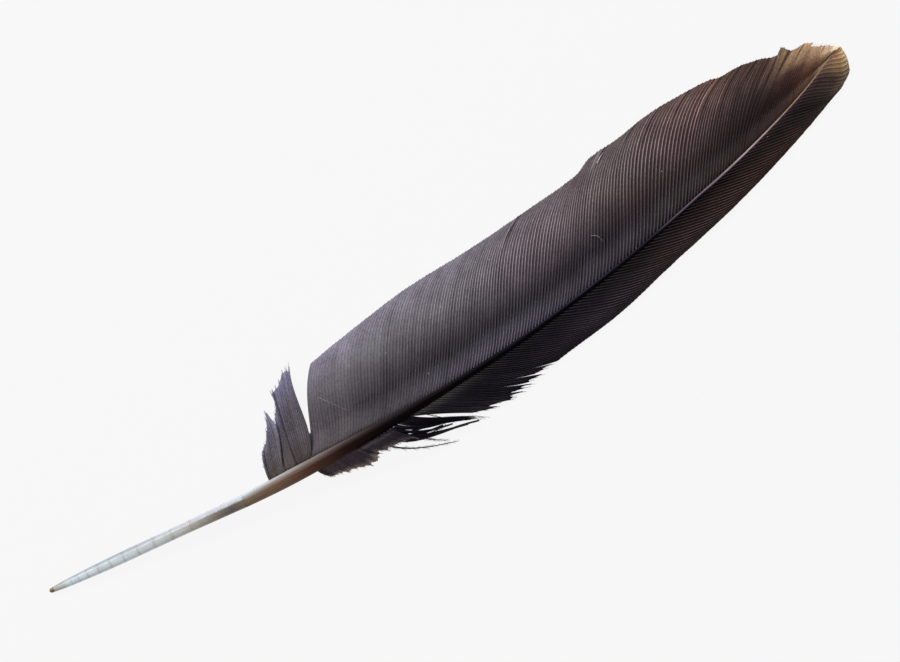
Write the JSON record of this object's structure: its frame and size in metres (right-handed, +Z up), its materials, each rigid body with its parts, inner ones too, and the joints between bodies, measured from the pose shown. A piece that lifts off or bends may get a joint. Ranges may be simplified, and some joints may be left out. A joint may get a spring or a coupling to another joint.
{
  "type": "quill feather",
  "caption": "Uncut natural quill: a dark flight feather with a hollow horn barrel, a tapering shaft, a broad and a slim vane, and parted barbs at its base.",
  "frame": {"origin": "the middle of the feather's footprint, on the surface that it lies on", "axes": "+X from the quill's tip to the vane's tip, +Y towards the wide vane, +Z up, away from the surface"},
  "size_m": [0.1537, 0.027, 0.0048],
  "materials": {
    "horn": "satin",
    "tip_horn": "satin",
    "membrane": "matte",
    "rachis_horn": "satin",
    "pith": "matte",
    "wide_barbs": "satin",
    "narrow_barbs": "satin",
    "downy_barbs": "matte",
    "loose_barbs": "satin"
  },
  "bodies": {
    "root": {"calamus": "horn", "closed_tip": "tip_horn", "down_clump_1": "downy_barbs", "down_clump_2": "downy_barbs", "fringe_clump_1": "narrow_barbs", "fringe_clump_2": "narrow_barbs", "fringe_clump_3": "narrow_barbs", "fringe_clump_4": "narrow_barbs", "fringe_clump_5": "narrow_barbs", "fringe_clump_6": "narrow_barbs", "narrow_vane_1": "narrow_barbs", "narrow_vane_2": "narrow_barbs", "narrow_vane_3": "narrow_barbs", "narrow_vane_4": "narrow_barbs", "narrow_vane_5": "narrow_barbs", "pulp_cap_01": "membrane", "pulp_cap_02": "membrane", "pulp_cap_03": "membrane", "pulp_cap_04": "membrane", "pulp_cap_05": "membrane", "pulp_cap_06": "membrane", "pulp_cap_07": "membrane", "pulp_cap_08": "membrane", "pulp_cap_09": "membrane", "pulp_cap_10": "membrane", "pulp_cap_11": "membrane", "pulp_cap_12": "membrane", "pulp_cap_13": "membrane", "rachis_cortex": "rachis_horn", "rachis_pith": "pith", "upper_plug": "membrane", "wide_vane_01": "wide_barbs", "wide_vane_02": "wide_barbs", "wide_vane_03": "wide_barbs", "wide_vane_04": "wide_barbs", "wide_vane_05": "wide_barbs", "wide_vane_06": "wide_barbs", "wide_vane_07": "wide_barbs", "wide_vane_08": "wide_barbs", "wide_vane_09": "wide_barbs", "wide_vane_10": "wide_barbs", "wide_vane_11": "wide_barbs"},
    "tuft_1": {"tuft_clump_1": "downy_barbs"},
    "tuft_2": {"tuft_clump_2": "downy_barbs"},
    "tuft_3": {"tuft_clump_3": "downy_barbs"},
    "black_barb": {"black_strand": "loose_barbs"},
    "fine_barbs": {"crossing_strand": "loose_barbs", "fine_strands": "loose_barbs"}
  },
  "joints": [
    {"name": "tuft_1_flex", "type": "hinge", "parent": "root", "child": "tuft_1", "pos_m": [-0.0364, -0.00175, 0.00364], "axis": [0, 0, 1], "range_deg": [-8, 8], "stiffness_Nm_per_rad": 0.000004},
    {"name": "tuft_2_flex", "type": "hinge", "parent": "root", "child": "tuft_2", "pos_m": [-0.0339, -0.00198, 0.00332], "axis": [0, 0, 1], "range_deg": [-8, 8], "stiffness_Nm_per_rad": 0.000004},
    {"name": "tuft_3_flex", "type": "hinge", "parent": "root", "child": "tuft_3", "pos_m": [-0.03145, -0.00223, 0.00389], "axis": [0, 0, 1], "range_deg": [-8, 8], "stiffness_Nm_per_rad": 0.000008},
    {"name": "black_barb_flex", "type": "hinge", "parent": "root", "child": "black_barb", "pos_m": [-0.015, -0.00601, 0.00453], "axis": [0, 0, 1], "range_deg": [-8, 6], "stiffness_Nm_per_rad": 0.000003},
    {"name": "fine_barbs_flex", "type": "hinge", "parent": "root", "child": "fine_barbs", "pos_m": [-0.0188, -0.00587, 0.00352], "axis": [0, 0, 1], "range_deg": [-4, 8], "stiffness_Nm_per_rad": 0.000002}
  ]
}
